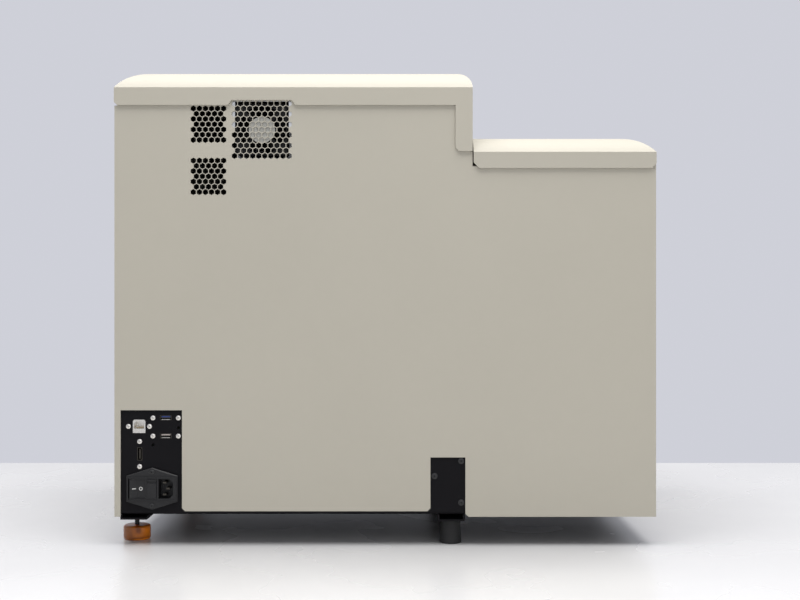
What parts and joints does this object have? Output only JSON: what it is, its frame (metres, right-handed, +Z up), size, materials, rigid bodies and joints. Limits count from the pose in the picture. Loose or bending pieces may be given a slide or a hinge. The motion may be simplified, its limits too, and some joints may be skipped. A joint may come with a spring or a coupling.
{
  "type": "cell culture analyzer",
  "caption": "Bench-top cell culture analyzer: beige case with a stepped top, a lift-off rear cover, a hinged front lid over a sample carousel, a front door and side connectors.",
  "frame": {"origin": "on the bench, at the centre of the bounding box's base", "axes": "+Z up, -Y towards the operator (the door's side), -X towards the side with the connectors and the fan"},
  "size_m": [0.476, 0.639, 0.564],
  "materials": {
    "case_paint": "fine-textured warm beige enamel, satin",
    "black_sheet": "black powder coat, fine grain",
    "zinc_sheet": "zinc-plated sheet, dull",
    "aluminium": "clear anodised, machined",
    "steel": "ground stainless steel",
    "nickel": "nickel plated",
    "black_plastic": "moulded black plastic, fine spark texture",
    "grey_plastic": "moulded grey plastic",
    "white_plastic": "moulded white plastic",
    "clear_plastic": "clear polystyrene",
    "amber_plastic": "translucent amber polyurethane",
    "black_rubber": "moulded black rubber",
    "glass": "clear borosilicate glass",
    "green_board": "green circuit laminate"
  },
  "bodies": {
    "chassis": {"base_pan": "black_sheet", "bulkhead": "zinc_sheet", "carousel_motor": "black_sheet", "cover_studs": "steel", "deck_plate": "aluminium", "door_pivots": "steel", "ethernet_jack": "nickel", "fan_bracket": "zinc_sheet", "fan_frame": "black_plastic", "fan_screws": "steel", "flange_screws": "black_sheet", "foot_lock_nuts": "steel", "front_feet": "black_rubber", "front_foot_channels": "black_sheet", "front_frame": "case_paint", "imaging_train": "black_sheet", "inlet_pins": "nickel", "inlet_screws": "black_sheet", "io_plate": "black_sheet", "left_side_panel": "case_paint", "lid_hinge_brackets": "zinc_sheet", "lid_hinge_pins": "steel", "lower_usb_port": "nickel", "main_board": "green_board", "optical_bench": "aluminium", "port_screws": "nickel", "power_inlet": "black_plastic", "power_supply": "aluminium", "probe_tower": "aluminium", "reagent_bottles": "white_plastic", "reagent_rack": "zinc_sheet", "rear_foot_brackets": "black_sheet", "rear_panel": "case_paint", "rear_screws": "steel", "right_side_panel": "case_paint", "syringe_barrel": "glass", "syringe_pump": "grey_plastic", "top_rails": "black_sheet", "tubing_pump": "grey_plastic", "upper_usb_port": "nickel", "video_port": "nickel", "wash_station": "white_plastic"},
    "fan_rotor": {"fan_rotor": "black_plastic"},
    "power_rocker": {"power_rocker": "black_plastic"},
    "fuse_drawer": {"fuse_drawer": "black_plastic"},
    "carousel": {"sample_carousel": "white_plastic", "sample_tubes": "clear_plastic", "carousel_shaft": "steel"},
    "probe_column": {"probe_column": "steel"},
    "probe_arm": {"probe_arm": "white_plastic", "probe_needle": "steel"},
    "syringe_plunger": {"syringe_plunger": "aluminium"},
    "pump_rotor": {"pump_rotor": "white_plastic"},
    "front_door": {"front_door": "case_paint"},
    "front_lid": {"front_lid": "case_paint"},
    "top_cover": {"top_cover": "case_paint"},
    "left_foot": {"left_foot_pad": "amber_plastic", "left_foot_stud": "black_sheet"},
    "right_foot": {"right_foot_pad": "amber_plastic", "right_foot_stud": "black_sheet"}
  },
  "joints": [
    {"name": "fan_spin", "type": "hinge", "parent": "chassis", "child": "fan_rotor", "pos_m": [-0.22, 0.1457, 0.4915], "axis": [1, 0, 0], "continuous": true},
    {"name": "power_switch", "type": "hinge", "parent": "chassis", "child": "power_rocker", "pos_m": [-0.232, 0.293, 0.0678], "axis": [0, 0, -1], "range_deg": [0, 16]},
    {"name": "fuse_pull", "type": "slide", "parent": "chassis", "child": "fuse_drawer", "axis": [-1, 0, 0], "range_m": [0, 0.016]},
    {"name": "carousel_turn", "type": "hinge", "parent": "chassis", "child": "carousel", "pos_m": [-0.06, -0.208, 0.262], "axis": [0, 0, 1], "continuous": true},
    {"name": "arm_swing", "type": "hinge", "parent": "chassis", "child": "probe_column", "pos_m": [0.095, -0.15, 0.3], "axis": [0, 0, 1], "range_deg": [0, 40]},
    {"name": "needle_lift", "type": "slide", "parent": "probe_column", "child": "probe_arm", "axis": [0, 0, 1], "range_m": [-0.08, 0]},
    {"name": "syringe_stroke", "type": "slide", "parent": "chassis", "child": "syringe_plunger", "axis": [0, 0, 1], "range_m": [-0.043, 0]},
    {"name": "pump_spin", "type": "hinge", "parent": "chassis", "child": "pump_rotor", "pos_m": [0.198, -0.11, 0.19], "axis": [0, -1, 0], "continuous": true},
    {"name": "door_swing", "type": "hinge", "parent": "chassis", "child": "front_door", "pos_m": [0.223, -0.311, 0.25], "axis": [0, 0, 1], "range_deg": [0, 95]},
    {"name": "lid_swing", "type": "hinge", "parent": "chassis", "child": "front_lid", "pos_m": [0, -0.13, 0.479], "axis": [-1, 0, 0], "range_deg": [0, 95]},
    {"name": "cover_lift", "type": "slide", "parent": "chassis", "child": "top_cover", "axis": [0, 0, 1], "range_m": [0, 0.12]},
    {"name": "left_foot_turn", "type": "hinge", "parent": "chassis", "child": "left_foot", "pos_m": [-0.188, 0.303, 0.01], "axis": [0, 0, 1], "continuous": true},
    {"name": "right_foot_turn", "type": "hinge", "parent": "chassis", "child": "right_foot", "pos_m": [0.188, 0.303, 0.01], "axis": [0, 0, 1], "continuous": true}
  ]
}
